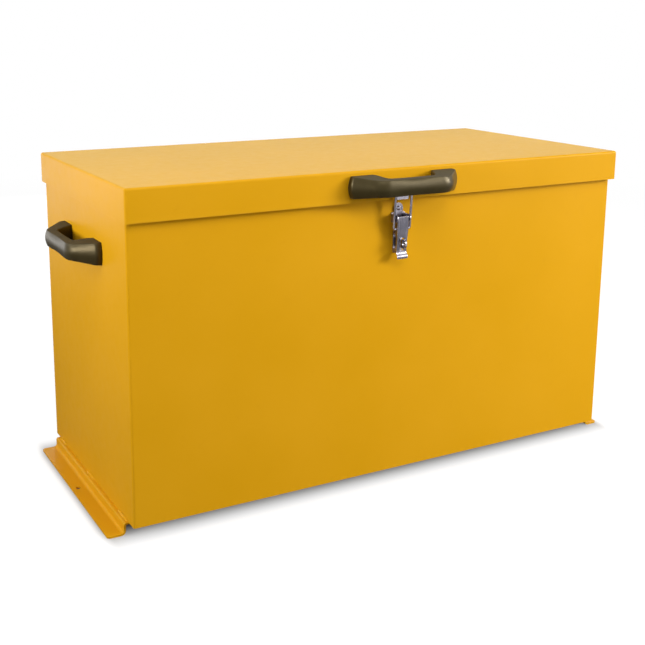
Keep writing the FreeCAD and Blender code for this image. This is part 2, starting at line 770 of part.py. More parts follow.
def latch_lever():
    half = LEVER_WIDTH / 2
    face = PIVOT_OUT + LEVER_FACE
    back = face - LEVER_SHEET
    top_z = pivot_z + LEVER_TOP
    bend_z = pivot_z - LEVER_LENGTH
    tip_z = bend_z - LEVER_LIP_LENGTH
    tip_out = face + LEVER_LIP_FLARE
    web = [
        (back, top_z, 0),
        (face, top_z, LEVER_SHEET / 2),
        (face, bend_z, LEVER_BEND_R),
        (tip_out, tip_z, LEVER_SHEET / 4),
        (tip_out - LEVER_SHEET, tip_z - LEVER_SHEET / 2, LEVER_SHEET / 4),
        (back, bend_z - LEVER_SHEET / 2, LEVER_BEND_R),
    ]
    strip = outline(web, front_side(-half)).extrude(X_AXIS * LEVER_WIDTH)
    slot = block(
        Vector(-LEVER_SLOT_WIDTH / 2, front_y - face - OVERRUN, pivot_z - LEVER_SLOT_BOTTOM),
        Vector(LEVER_SLOT_WIDTH / 2, front_y - back + OVERRUN, pivot_z - LEVER_SLOT_TOP),
    )
    cheek = [
        (back, top_z, 0),
        (back, bend_z, 0),
        (back - LEVER_END_CHEEK, bend_z, LEVER_SHEET),
        (back - LEVER_MID_CHEEK, pivot_z - LEVER_MID_DROP, LEVER_EYE_R),
        (PIVOT_OUT - LEVER_EYE_R, pivot_z - LEVER_EYE_R, 0),
        (PIVOT_OUT - LEVER_EYE_R, top_z, LEVER_EYE_R),
    ]
    cheeks = []
    for side in SIDES.values():
        inner_x = side * (half - LEVER_SHEET)
        cheeks.append(outline(cheek, front_side(inner_x)).extrude(X_AXIS * side * LEVER_SHEET))
    lever = join([strip.cut(slot)] + cheeks)
    lever.rotate(pivot_point(), X_AXIS, LEVER_TILT_ANGLE)
    reach = X_AXIS * (half + OVERRUN)
    pivot_hole = bar(pivot_point() - reach, pivot_point() + reach, PIVOT_R + PIN_GAP)
    bail_hole = bar(bail_pivot_point() - reach, bail_pivot_point() + reach, BAIL_R + PIN_GAP)
    return lever.cut([pivot_hole, bail_hole])


def latch_bail():
    foot = bail_pivot_point()
    top = Vector(0, front_y - BAIL_TOP_OUT, bail_top_z)
    up = top - foot
    half = BAIL_WIDTH / 2
    hook = LEVER_WIDTH / 2 - LEVER_SHEET - BAIL_HOOK_PAST
    route = [(hook, 0, 0), (half, 0, BAIL_HOOK_R), (half, up.Length, BAIL_CORNER_R)]
    route += [(-x, along, radius) for x, along, radius in reversed(route)]
    rise = Vector(up).normalize()
    edges = open_route(route, lambda x, along: foot + X_AXIS * x + rise * along)
    start = foot + X_AXIS * hook
    section = Part.Wire(Part.makeCircle(BAIL_R, start, X_AXIS))
    return Part.Wire(edges).makePipeShell([section], True, False)


def open_route(corners, place):
    """Edges of an open path with rounded corners, ends square to their runs."""
    points = [Vector(u, v, 0) for u, v, radius in corners]
    edges = []
    last = points[0]
    for index in range(1, len(points) - 1):
        here = points[index]
        radius = corners[index][2]
        back = (points[index - 1] - here).normalize()
        ahead = (points[index + 1] - here).normalize()
        half = back.getAngle(ahead) / 2
        inward = (back + ahead).normalize()
        setback = radius / math.tan(half)
        start = here + back * setback
        end = here + ahead * setback
        middle = here + inward * (radius / math.sin(half) - radius)
        edges.append(Part.LineSegment(place(last.x, last.y), place(start.x, start.y)).toShape())
        edges.append(Part.Arc(*[place(p.x, p.y) for p in (start, middle, end)]).toShape())
        last = end
    edges.append(Part.LineSegment(place(last.x, last.y), place(points[-1].x, points[-1].y)).toShape())
    return edges


# Lid stays. The stud on the box and the pivot on the lid lie equally far from
# the hinge, so each arm turns at exactly half the lid's rate as it slides.
def stay_pivot(x):
    return Vector(x, hinge_y - STAY_REACH, hinge_z + STAY_RISE)


def stay_stud_point(x):
    arm = stay_pivot(x) - hinge_point(x)
    return hinge_point(x) + Rotation(X_AXIS, STAY_SPREAD_ANGLE).multVec(arm)


def stay_span(lid_angle):
    """Distance from stud to pivot with the lid open by an angle in degrees."""
    radius = math.hypot(STAY_REACH, STAY_RISE)
    return 2 * radius * math.sin(math.radians(STAY_SPREAD_ANGLE + lid_angle) / 2)


def stay_arm(side):
    x = side * stay_inner_x
    pivot = stay_pivot(x)
    along = (stay_stud_point(x) - pivot).normalize()
    across = X_AXIS.cross(along)
    half = STAY_WIDTH / 2
    end = stay_span(LID_OPEN_ANGLE) + STAY_END_MARGIN
    round_r = half - CLOSE

    def at(run, offset):
        return pivot + along * run + across * offset

    shape = [(-half, -half, round_r), (end, -half, round_r), (end, half, round_r), (-half, half, round_r)]
    slot_r = STUD_R + MOVING_GAP
    first = stay_span(0) - slot_r - MOVING_GAP
    last = stay_span(LID_OPEN_ANGLE) + slot_r + MOVING_GAP
    slot_end = slot_r - CLOSE
    slot = [(run, -slot_r, slot_end) for run in (first, last)]
    slot += [(run, slot_r, slot_end) for run in (last, first)]
    thick = X_AXIS * side * STAY_SHEET
    arm = outline(shape, at).extrude(thick).cut(outline(slot, at).extrude(thick))
    reach = X_AXIS * (STAY_SHEET + OVERRUN)
    return arm.cut(bar(pivot - reach, pivot + reach, STAY_PIVOT_R + PIN_GAP))


def stay_stud(side):
    wall_x = body_half_width - SHEET
    flange_x = wall_x - STUD_FLANGE_SHEET
    barrel_x = stay_outer_x + MOVING_GAP
    neck_x = stay_inner_x - MOVING_GAP
    head_x = neck_x - STUD_HEAD_HEIGHT
    steps = [
        (wall_x, flange_x, STUD_FLANGE_R),
        (flange_x, barrel_x, STUD_BARREL_R),
        (barrel_x, neck_x, STUD_R),
        (neck_x, head_x, STUD_HEAD_R),
    ]
    return join([bar(stay_stud_point(side * a), stay_stud_point(side * b), r) for a, b, r in steps])


def bracket_face_x():
    return stay_outer_x + MOVING_GAP


def stay_bracket(side):
    half = BRACKET_WIDTH / 2
    inner_x = bracket_face_x()
    outer_x = inner_x + BRACKET_SHEET
    pivot = stay_pivot(side * inner_x)
    tab = [
        (pivot.y - half, lid_under_z, 0),
        (pivot.y - half, pivot.z - BRACKET_EYE_R, BRACKET_EYE_R),
        (pivot.y + half, pivot.z - BRACKET_EYE_R, BRACKET_EYE_R),
        (pivot.y + half, lid_under_z, 0),
    ]
    plate = outline(tab, lambda y, z: Vector(side * inner_x, y, z)).extrude(X_AXIS * side * BRACKET_SHEET)
    flange_x = outer_x - BRACKET_FLANGE
    low_x, high_x = sorted((side * flange_x, side * outer_x))
    flange_low = Vector(low_x, pivot.y - half, lid_under_z - BRACKET_SHEET)
    flange = block(flange_low, Vector(high_x, pivot.y + half, lid_under_z))
    reach = X_AXIS * (BRACKET_SHEET + OVERRUN)
    return join([plate, flange]).cut(bar(pivot - reach, pivot + reach, STAY_PIVOT_R + PIN_GAP))


def stay_rivet(side):
    outer_x = bracket_face_x() + BRACKET_SHEET
    inner_x = stay_inner_x - MOVING_GAP
    head = (STAY_PIVOT_HEAD_R, STAY_PIVOT_HEAD_HEIGHT)
    outer = stay_pivot(side * outer_x)
    inner = stay_pivot(side * inner_x)
    flush = bar(inner, outer, STAY_PIVOT_R)
    return join([flush, dome(inner, -X_AXIS * side, *head)])


def all_pieces():
    pieces = {
        "body_wrapper": body_wrapper(),
        "rear_panel": rear_panel(),
        "base_tray": base_tray(),
        "foot_welds": foot_welds(),
        "hinge_body_leaf": hinge_leaf(-1),
        "hinge_lid_leaf": hinge_leaf(1),
        "hinge_pin": hinge_pin(),
        "hinge_body_rivets": hinge_rivets(-1),
        "hinge_lid_rivets": hinge_rivets(1),
        "lid_pan": lid_pan(),
        "lid_stiffeners": lid_stiffeners(),
        "lid_seal": lid_seal(),
        "strike_ledge": strike_ledge(),
        "strike_rivets": strike_rivets(),
        "latch_base": latch_base(),
        "latch_rivets": latch_rivets(),
        "lever_pivot_pin": lever_pivot_pin(),
        "padlock_staple": padlock_staple(),
        "latch_lever": latch_lever(),
        "latch_bail": latch_bail(),
    }
    pieces.update(handle_set("lid_handle", LID_HANDLE_PLACE))
    for name, side in SIDES.items():
        pieces[name + "_foot"] = foot(side)
        pieces[name + "_stay_arm"] = stay_arm(side)
        pieces[name + "_stay_stud"] = stay_stud(side)
        pieces[name + "_stay_bracket"] = stay_bracket(side)
        pieces[name + "_stay_rivet"] = stay_rivet(side)
        pieces.update(handle_set(name + "_handle", side_handle_place(side)))
    return pieces


os.makedirs("parts", exist_ok=True)
for name, shape in all_pieces().items():
    shape.exportStep("parts/" + name + ".step")
    state = "valid" if shape.isValid() else "INVALID"
    print(name, len(shape.Solids), "solids", round(shape.Volume), "mm3", state)
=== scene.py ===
import json
import math
from collections import namedtuple

import bmesh
import bpy
from mathutils import Matrix, Vector, noise


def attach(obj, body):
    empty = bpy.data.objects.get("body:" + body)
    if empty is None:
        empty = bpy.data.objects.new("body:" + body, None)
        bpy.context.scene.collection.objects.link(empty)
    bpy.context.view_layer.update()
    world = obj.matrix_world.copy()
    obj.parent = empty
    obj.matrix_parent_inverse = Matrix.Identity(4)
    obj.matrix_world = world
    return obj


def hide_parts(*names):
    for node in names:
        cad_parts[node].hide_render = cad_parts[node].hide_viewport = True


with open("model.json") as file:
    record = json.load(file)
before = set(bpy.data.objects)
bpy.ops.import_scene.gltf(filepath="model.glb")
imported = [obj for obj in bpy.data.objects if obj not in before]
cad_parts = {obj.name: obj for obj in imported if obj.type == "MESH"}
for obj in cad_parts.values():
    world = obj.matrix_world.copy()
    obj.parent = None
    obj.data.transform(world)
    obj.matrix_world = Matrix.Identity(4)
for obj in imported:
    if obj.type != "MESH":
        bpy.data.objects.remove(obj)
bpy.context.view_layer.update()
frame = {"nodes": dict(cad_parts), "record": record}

nodes = frame["nodes"]
MM = 0.001
MERGE_GAP = 0.00001
BEVEL_SAMPLES = 6
QUARTERS = (0.25, 0.5, 0.75)

# Places shared with the CAD model, in millimetres
FRONT_Y = -213.1
LID_FRONT_Y = -225.1
BODY_HALF = 471.0
FOOT_TOP = 20.0
LID_HANDLE_Z = 524.0
SIDE_HANDLE_Z = 429.0
PIVOT_Z = 466.0
PIVOT_OUT = 14.0


# ---- Small helpers for node trees
def put(tree, kind, values=None, **props):
    """Adds a node, sets its properties, and fills its inputs with values or links."""
    made = tree.nodes.new(kind)
    for key, value in props.items():
        setattr(made, key, value)
    for key, value in (values or {}).items():
        socket = made.inputs[key]
        if isinstance(value, bpy.types.NodeSocket):
            tree.links.new(value, socket)
        else:
            socket.default_value = value
    return made


def math_node(tree, operation, first, second, clamp=False):
    made = put(tree, "ShaderNodeMath", {0: first, 1: second}, operation=operation, use_clamp=clamp)
    return made.outputs[0]


def vector_node(tree, operation, *inputs):
    """A vector maths node: a number from LENGTH and DOT_PRODUCT, a vector otherwise."""
    made = put(tree, "ShaderNodeVectorMath", dict(enumerate(inputs)), operation=operation)
    return made.outputs["Value" if operation in ("LENGTH", "DOT_PRODUCT") else "Vector"]


def ramp(tree, value, low, high, to_low=0.0, to_high=1.0, **props):
    limits = {"From Min": low, "From Max": high, "To Min": to_low, "To Max": to_high}
    made = put(tree, "ShaderNodeMapRange", {"Value": value, **limits}, **props)
    return made.outputs["Result"]


def mix_colour(tree, factor, first, second):
    made = put(tree, "ShaderNodeMix", data_type="RGBA")
    colour_inputs = ((0, factor), (6, first), (7, second))
    for index, value in colour_inputs:
        if isinstance(value, bpy.types.NodeSocket):
            tree.links.new(value, made.inputs[index])
        else:
            made.inputs[index].default_value = value
    return made.outputs[2]


def cloud(tree, place, scale, detail=2.0, rough=0.5, stretch=None):
    """Noise, stretched along the axes where stretch is given."""
    if stretch is not None:
        place = put(tree, "ShaderNodeMapping", {"Vector": place, "Scale": stretch}).outputs[0]
    values = {"Vector": place, "Scale": scale, "Detail": detail, "Roughness": rough}
    return put(tree, "ShaderNodeTexNoise", values).outputs["Fac"]


def edge_mask(tree, radius, low, high):
    """1 along convex and concave edges, fading to 0 on flat faces."""
    bent = put(tree, "ShaderNodeBevel", {"Radius": radius}, samples=BEVEL_SAMPLES).outputs[0]
    plain = put(tree, "ShaderNodeNewGeometry").outputs["Normal"]
    return ramp(tree, vector_node(tree, "DOT_PRODUCT", bent, plain), high, low)


def bumps(tree, layers):
    """Stacks bump layers given as (height, strength, distance)."""
    normal = None
    for height, strength, distance in layers:
        values = {"Height": height, "Strength": strength, "Distance": distance}
        made = put(tree, "ShaderNodeBump", values)
        if normal is not None:
            tree.links.new(normal, made.inputs["Normal"])
        normal = made.outputs[0]
    return normal


def ray_mask(tree, *kinds):
    """1 for rays of the given kinds."""
    rays = put(tree, "ShaderNodeLightPath")
    flags = [rays.outputs["Is " + kind + " Ray"] for kind in kinds]
    mask = flags[0]
    for flag in flags[1:]:
        mask = math_node(tree, "MAXIMUM", mask, flag)
    return mask


def material(name, constants):
    """A Principled material with its constant values, and object coordinates to vary it by."""
    made = bpy.data.materials.new(name)
    made.use_nodes = True
    tree = made.node_tree
    tree.nodes.clear()
    shader = put(tree, "ShaderNodeBsdfPrincipled", constants)
    put(tree, "ShaderNodeOutputMaterial", {"Surface": shader.outputs[0]})
    coordinates = tree.nodes.new("ShaderNodeTexCoord")
    return made, tree, shader, coordinates.outputs["Object"]


def feed(tree, shader, colour, rough, normal):
    for name, value in (("Base Color", colour), ("Roughness", rough), ("Normal", normal)):
        tree.links.new(value, shader.inputs[name])


# ---- Materials: colours are linear, and most noise lies within MIDDLE
MIDDLE = (0.3, 0.7)

YELLOW_DEEP = (0.730, 0.356, 0.005, 1)
YELLOW_PALE = (0.770, 0.377, 0.009, 1)
YELLOW_BLOTCH = (0.62, 0.28, 0.004, 1)
YELLOW_RUBBED = (0.86, 0.47, 0.045, 1)
YELLOW_SHEEN = (1.0, 0.86, 0.10, 1)

NYLON_DEEP = (0.028, 0.021, 0.007, 1)
NYLON_PALE = (0.038, 0.029, 0.011, 1)
NYLON_RUBBED = (0.075, 0.066, 0.050, 1)
NYLON_GLOSS = (1.0, 0.80, 0.45, 1)

ZINC_DEEP = (0.31, 0.30, 0.36, 1)
ZINC_PALE = (0.48, 0.45, 0.51, 1)
ZINC_SPANGLE = (0.22, 0.21, 0.26, 1)
ZINC_EDGE = (0.88, 0.87, 0.87, 1)
ZINC_GRAIN = (1.0, 1.0, 0.06)

BRASS_DEEP = (0.62, 0.43, 0.16, 1)
BRASS_PALE = (0.74, 0.54, 0.23, 1)
BRASS_EDGE = (0.85, 0.70, 0.40, 1)

RUBBER_DEEP = (0.016, 0.016, 0.017, 1)
RUBBER_PALE = (0.030, 0.030, 0.031, 1)
RUBBER_EDGE = (0.07, 0.07, 0.07, 1)


def powder_coat():
    made, tree, shader, place = material(
        "yellow_powder_coat",
        {"IOR": 1.15, "Sheen Weight": 0.12, "Sheen Roughness": 0.45, "Sheen Tint": YELLOW_SHEEN},
    )
    broad = cloud(tree, place, scale=4.5, detail=3.0)
    blotch = cloud(tree, place, scale=60.0, detail=4.0, rough=0.6)
    wear = cloud(tree, place, scale=35.0, detail=5.0, rough=0.7)
    sheet = cloud(tree, place, scale=3.2, detail=1.0)
    peel = cloud(tree, place, scale=380.0)
    speck = cloud(tree, place, scale=900.0)

    yellow = mix_colour(tree, ramp(tree, broad, *MIDDLE), YELLOW_DEEP, YELLOW_PALE)
    blotches = ramp(tree, blotch, 0.62, 0.8, to_high=0.12)
    yellow = mix_colour(tree, blotches, yellow, YELLOW_BLOTCH)
    edge = edge_mask(tree, radius=0.0035, low=0.80, high=0.985)
    rub = math_node(tree, "MULTIPLY", edge, ramp(tree, wear, 0.42, 0.7), clamp=True)
    yellow = mix_colour(tree, math_node(tree, "MULTIPLY", rub, 0.45), yellow, YELLOW_RUBBED)

    rough = ramp(tree, blotch, 0.25, 0.75, to_low=0.30, to_high=0.40)
    rough = math_node(tree, "ADD", rough, math_node(tree, "MULTIPLY", rub, -0.08))
    normal = bumps(tree, [(sheet, 0.35, 0.004), (peel, 0.10, 0.0006), (speck, 0.05, 0.0002)])
    feed(tree, shader, yellow, rough, normal)
    return made


def nylon():
    made, tree, shader, place = material("black_nylon", {"IOR": 1.42, "Specular Tint": NYLON_GLOSS})
    grain = cloud(tree, place, scale=1400.0, detail=3.0, rough=0.6)
    broad = cloud(tree, place, scale=45.0, detail=3.0)
    wear = cloud(tree, place, scale=90.0, detail=4.0)

    dark = mix_colour(tree, ramp(tree, broad, *MIDDLE), NYLON_DEEP, NYLON_PALE)
    edge = edge_mask(tree, radius=0.003, low=0.75, high=0.98)
    rub = math_node(tree, "MULTIPLY", edge, ramp(tree, wear, 0.4, 0.7), clamp=True)
    dark = mix_colour(tree, math_node(tree, "MULTIPLY", rub, 0.5), dark, NYLON_RUBBED)

    # Hands polish the face; the tops stay dull
    facing = put(tree, "ShaderNodeTexCoord").outputs["Normal"]
    upward = put(tree, "ShaderNodeSeparateXYZ", {0: facing}).outputs[2]
    dullness = ramp(tree, upward, 0.45, 0.98, to_high=0.42)
    rough = ramp(tree, grain, *MIDDLE, to_low=0.29, to_high=0.38)
    rough = math_node(tree, "ADD", rough, dullness)
    normal = bumps(tree, [(broad, 0.08, 0.001), (grain, 0.22, 0.0003)])
    feed(tree, shader, dark, rough, normal)
    return made


def zinc():
    made, tree, shader, place = material("zinc_plate", {"Metallic": 1.0})
    spangle = cloud(tree, place, scale=160.0, detail=4.0, rough=0.65)
    tint = cloud(tree, place, scale=38.0)
    drawn = cloud(tree, place, scale=260.0, detail=3.0, rough=0.6, stretch=ZINC_GRAIN)

    metal = mix_colour(tree, ramp(tree, tint, 0.35, 0.65), ZINC_DEEP, ZINC_PALE)
    metal = mix_colour(tree, ramp(tree, spangle, 0.55, 0.8, to_high=0.35), metal, ZINC_SPANGLE)
    edge = edge_mask(tree, radius=0.0012, low=0.70, high=0.97)
    metal = mix_colour(tree, math_node(tree, "MULTIPLY", edge, 0.9), metal, ZINC_EDGE)

    rough = ramp(tree, drawn, 0.25, 0.75, to_low=0.16, to_high=0.34)
    normal = bumps(tree, [(spangle, 0.08, 0.0005), (drawn, 0.10, 0.0002)])
    feed(tree, shader, metal, rough, normal)
    return made


def brass():
    made, tree, shader, place = material("turned_brass", {"Metallic": 1.0})
    rings = cloud(tree, place, scale=500.0, detail=3.0)

    metal = mix_colour(tree, ramp(tree, rings, *MIDDLE), BRASS_DEEP, BRASS_PALE)
    edge = edge_mask(tree, radius=0.0008, low=0.70, high=0.97)
    metal = mix_colour(tree, math_node(tree, "MULTIPLY", edge, 0.4), metal, BRASS_EDGE)

    rough = ramp(tree, rings, *MIDDLE, to_low=0.22, to_high=0.38)
    feed(tree, shader, metal, rough, bumps(tree, [(rings, 0.15, 0.0003)]))
    return made


def rubber():
    made, tree, shader, place = material("seal_rubber", {})
    cells = cloud(tree, place, scale=1100.0, detail=3.0, rough=0.7)
    broad = cloud(tree, place, scale=70.0, detail=3.0)

    black = mix_colour(tree, ramp(tree, broad, *MIDDLE), RUBBER_DEEP, RUBBER_PALE)
    edge = edge_mask(tree, radius=0.002, low=0.75, high=0.98)
    black = mix_colour(tree, math_node(tree, "MULTIPLY", edge, 0.3), black, RUBBER_EDGE)

    rough = ramp(tree, cells, *MIDDLE, to_low=0.62, to_high=0.82)
    feed(tree, shader, black, rough, bumps(tree, [(cells, 0.35, 0.0004)]))
    return made


SLOT_MATERIALS = {
    "yellow_coat": powder_coat(),
    "black_nylon": nylon(),
    "zinc_plate": zinc(),
    "brass": brass(),
    "rubber": rubber(),
}
BODIES = frame["record"]["behaviour"]["bodies"]
NODE_BODIES = {node: body for body, members in BODIES.items() for node in members}
NODE_SLOTS = {row["node"]: row["material_slot"] for row in frame["record"]["subparts"]}


def dress(obj, slot):
    obj.data.materials.clear()
    obj.data.materials.append(SLOT_MATERIALS[slot])


for node_name, node in nodes.items():
    dress(node, NODE_SLOTS[node_name])


# ---- Building pieces
def piece(name, mesh, node_name):
    """A finished piece that takes a CAD node's place, body and material slot."""
    obj = bpy.data.objects.new(name, mesh)
    bpy.context.scene.collection.objects.link(obj)
    dress(obj, NODE_SLOTS[node_name])
    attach(obj, NODE_BODIES[node_name])
    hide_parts(node_name)
    return obj


def mesh_of(name, verts, faces):
    """A smooth mesh from points in millimetres."""
    made = bpy.data.meshes.new(name)
    made.from_pydata([Vector(v) * MM for v in verts], [], faces)
    bm = bmesh.new()
    bm.from_mesh(made)
    bmesh.ops.remove_doubles(bm, verts=bm.verts, dist=MERGE_GAP)
    bmesh.ops.recalc_face_normals(bm, faces=bm.faces)
    bm.to_mesh(made)
    bm.free()
    made.shade_smooth()
    return made


def loft(rings, closed=True):
    """Quads between rings of points: a capped tube, or an open sheet."""
    verts = [p for ring in rings for p in ring]
    count = len(rings[0])
    span = count if closed else count - 1
    faces = []
    for r in range(len(rings) - 1):
        for k in range(span):
            a = r * count + k
            b = r * count + (k + 1) % count
            faces.append((a, b, b + count, a + count))
    if closed:
        faces.append(tuple(range(count)))
        faces.append(tuple(range(len(verts) - count, len(verts))))
    return verts, faces


def rounded_path(corners, arc_steps=10, run_steps=8):
    """Points along an open path whose corners (u, v, radius) are rounded."""
    points = [Vector((u, v)) for u, v, radius in corners]
    path = [points[0]]
    for index in range(1, len(points)):
        here = points[index]
        radius = corners[index][2]
        start = end = here
        arc = []
        if radius > 0:
            back = (points[index - 1] - here).normalized()
            ahead = (points[index + 1] - here).normalized()
            half = back.angle(ahead) / 2
            setback = radius / math.tan(half)
            start, end = here + back * setback, here + ahead * setback
            centre = here + (back + ahead).normalized() * (radius / math.sin(half))
            for step in range(1, arc_steps):
                share = step / arc_steps
                spoke = (start - centre).lerp(end - centre, share).normalized()
                arc.append(centre + spoke * radius)
        before = path[-1]
        for step in range(1, run_steps):
            path.append(before.lerp(start, step / run_steps))
        path.append(start)
        path += arc
        if end != start:
            path.append(end)
    return path


def at_share(path, share):
    """The point at a share of a path's length."""
    lengths = [(b - a).length for a, b in zip(path, path[1:])]
    goal = share * sum(lengths)
    for a, b, length in zip(path, path[1:], lengths):
        if goal <= length and length > 0:
            return a.lerp(b, goal / length)
        goal -= length
    return path[-1]


def smooth(low, high, x):
    """0 below low, 1 above high, with an eased step between."""
    t = min(1.0, max(0.0, (x - low) / (high - low)))
    return t * t * (3 - 2 * t)


# ---- Bridge handles: lofted D-section with a flat top and a crowned face, in millimetres
# Half of the plan as (along, out, corner radius), from the mounting face to the middle
HANDLE_OUTER = [(-104, 0, 0), (-104, 9, 4), (-67, 46, 34), (0, 46, 0)]
HANDLE_INNER = [(-56, 0, 0), (-46, 29, 12), (0, 29, 0)]
HANDLE_STATIONS = 56
HANDLE_FOOT_HALF = 18.0
HANDLE_SLIMMING = 4.4
HANDLE_SLIM_SPAN = (2.0, 42.0)
HANDLE_EDGE_R = 2.6
HANDLE_CROWN = 3.6
HANDLE_FACE_TURN = 62
# Steps round half a section: inner wall, inner edge, flat, outer edge, crowned face
HANDLE_STEPS = (5, 6, 7, 8, 8)


def handle_half_height(out):
    return HANDLE_FOOT_HALF - HANDLE_SLIMMING * smooth(*HANDLE_SLIM_SPAN, out)


def handle_half_section(inner_half, outer_half, depth):
    """Points (u, drop) from the inner wall's middle, over the top, to the face's middle."""
    wall_steps, inner_steps, flat_steps, outer_steps, face_steps = HANDLE_STEPS
    radius = HANDLE_EDGE_R
    points = []
    for step in range(wall_steps):
        points.append((0.0, radius + (inner_half - radius) * (1 - step / wall_steps)))
    for step in range(inner_steps + 1):
        turn = math.radians(90 * step / inner_steps)
        points.append((radius - radius * math.cos(turn), radius - radius * math.sin(turn)))
    flat_end = depth - HANDLE_CROWN - radius
    for step in range(1, flat_steps):
        points.append((radius + (flat_end - radius) * step / flat_steps, 0.0))
    for step in range(outer_steps + 1):
        turn = math.radians(HANDLE_FACE_TURN * step / outer_steps)
        points.append((flat_end + radius * math.sin(turn), radius - radius * math.cos(turn)))
    u_last, drop_last = points[-1]
    for step in range(1, face_steps):
        share = step / face_steps
        rise = 1 - (1 - share) ** 2
        u = u_last + (depth - u_last) * rise
        points.append((u, drop_last + (outer_half - drop_last) * share))
    return points


def handle_section(inner, outer):
    """Points round one section, between its inner and its outer plan point."""
    depth = (outer - inner).length
    along = (outer - inner) / depth
    outer_half = handle_half_height(outer.y)
    half_ring = handle_half_section(handle_half_height(inner.y), outer_half, depth)
    upper = [(u, drop, 1) for u, drop in half_ring]
    lower = [(u, drop, -1) for u, drop in reversed(half_ring)]
    ring = []
    for u, drop, level in upper + [(depth, outer_half, 1)] + lower:
        plan = inner + along * u
        ring.append((plan.x, plan.y, level * (handle_half_height(plan.y) - drop)))
    return ring


def handle_mesh(name, place):
    outer_path = rounded_path(HANDLE_OUTER)
    inner_path = rounded_path(HANDLE_INNER)
    rings = []
    for step in range(2 * HANDLE_STATIONS + 1):
        share = step / HANDLE_STATIONS
        mirror = 1 if share <= 1 else -1
        share = share if share <= 1 else 2 - share
        section = handle_section(at_share(inner_path, share), at_share(outer_path, share))
        rings.append([place(mirror * x, out, z) for x, out, z in section])
    return mesh_of(name, *loft(rings))


def make_handles():
    places = {
        "lid": lambda x, out, z: (x, LID_FRONT_Y - out, LID_HANDLE_Z + z),
        "left": lambda x, out, z: (-BODY_HALF - out, -x, SIDE_HANDLE_Z + z),
        "right": lambda x, out, z: (BODY_HALF + out, x, SIDE_HANDLE_Z + z),
    }
    for side, place in places.items():
        name = side + "_handle_grip"
        piece(name, handle_mesh(name, place), side + "_handle")


make_handles()


# ---- Stitch welds with ripples, in millimetres
WELD_MIDDLES = (-163.0, 0.0, 163.0)
WELD_LENGTH = 42.0
WELD_LEG = 3.4
WELD_ROWS = 84
WELD_SPOKES = 10
WELD_END = 9.0
WELD_END_LEAST = 0.08
WELD_ROOT_IN = 0.6
WELD_ROOT_DOWN = 0.3
WELD_HOLLOW = 0.14
RIPPLE_PITCH = 2.6
RIPPLE_PHASE = 0.7
RIPPLE_BASE = 0.86
RIPPLE_HEIGHT = 0.12
RIPPLE_MEAN = 0.6
WANDER_SEEDS = (3.1, 7.7)
WANDER_PACE = 0.11
WANDER_HEIGHT = 0.22


def weld_reach(side, number, y, end):
    """How far a bead stands out at y, at a distance from its nearer end."""
    taper = math.sqrt(max(0.0, 1 - (1 - min(end / WELD_END, 1.0)) ** 2))
    wave = (y / RIPPLE_PITCH + RIPPLE_PHASE * number) % 1.0
    ripple = RIPPLE_BASE + RIPPLE_HEIGHT * (math.sin(math.pi * wave) - RIPPLE_MEAN)
    seeds = (side * WANDER_SEEDS[0], number * WANDER_SEEDS[1])
    wander = noise.noise(Vector((*seeds, y * WANDER_PACE))) * WANDER_HEIGHT
    return WELD_LEG * max(WELD_END_LEAST, taper) * (ripple + wander)


def weld_rings(side, number, middle):
    rings = []
    for row in range(WELD_ROWS + 1):
        run = row / WELD_ROWS
        y = middle + (run - 0.5) * WELD_LENGTH
        reach = weld_reach(side, number, y, min(run, 1 - run) * WELD_LENGTH)
        ring = [(side * (BODY_HALF - WELD_ROOT_IN), y, FOOT_TOP - WELD_ROOT_DOWN)]
        for k in range(WELD_SPOKES + 1):
            turn = math.radians(90 * k / WELD_SPOKES)
            swell = reach * (1.0 - WELD_HOLLOW * math.sin(2 * turn))
            x = side * (BODY_HALF + swell * math.cos(turn))
            ring.append((x, y, FOOT_TOP + swell * math.sin(turn)))
        rings.append(ring)
    return rings


def make_welds():
    verts, faces = [], []
    for side in (-1, 1):
        for number, middle in enumerate(WELD_MIDDLES):
            bead, quads = loft(weld_rings(side, number, middle))
            start = len(verts)
            verts += bead
            faces += [tuple(start + k for k in quad) for quad in quads]
    piece("foot_weld_beads", mesh_of("foot_weld_beads", verts, faces), "foot_welds")


make_welds()


# ---- Latch lever: a pressed channel with a waist, a padlock slot and a lip, in millimetres
LEVER_FACE = PIVOT_OUT + 4.6
LEVER_TOP = 3.5
LEVER_BEND = -58.0
LEVER_KICK = 4.6
LEVER_LIP = 9.0
# Side view as (out from the front panel, up from the pivot, corner radius)
LEVER_SIDE = [
    (LEVER_FACE, LEVER_TOP, 0),
    (LEVER_FACE, LEVER_BEND, 6),
    (LEVER_FACE + LEVER_KICK, LEVER_BEND - LEVER_KICK, 3),
    (LEVER_FACE + LEVER_KICK, LEVER_BEND - LEVER_LIP, 0),
]
LEVER_ROWS = 70
LEVER_PROBE = 0.01
LEVER_LEAN = 4.0
LEVER_SHEET = 1.6
LEVER_EDGE = 0.35
LEVER_SHARP = 50
LEVER_CORNER = 1.8
CHEEK_STEPS = 4
CORNER_STEPS = 5
# Half width, and where along the lever it narrows and widens
LEVER_HALF = 11.0
LEVER_WAIST, LEVER_WAIST_SPAN = 1.0, (20.0, 46.0)
LEVER_FLARE, LEVER_FLARE_SPAN = 0.5, (58.0, 68.0)
# Depth of the cheeks, and where along the lever it rises and falls
CHEEK_DEPTH = 10.2
CHEEK_RISE_SPAN = (-3.5, 3.0)
CHEEK_STEP, CHEEK_STEP_SPAN = 5.7, (18.0, 40.0)
CHEEK_RUNOUT, CHEEK_RUNOUT_SPAN = 3.6, (52.0, 63.0)
SLOT_HALF = 3.5
SLOT_SPAN = (36.5, 57.5)


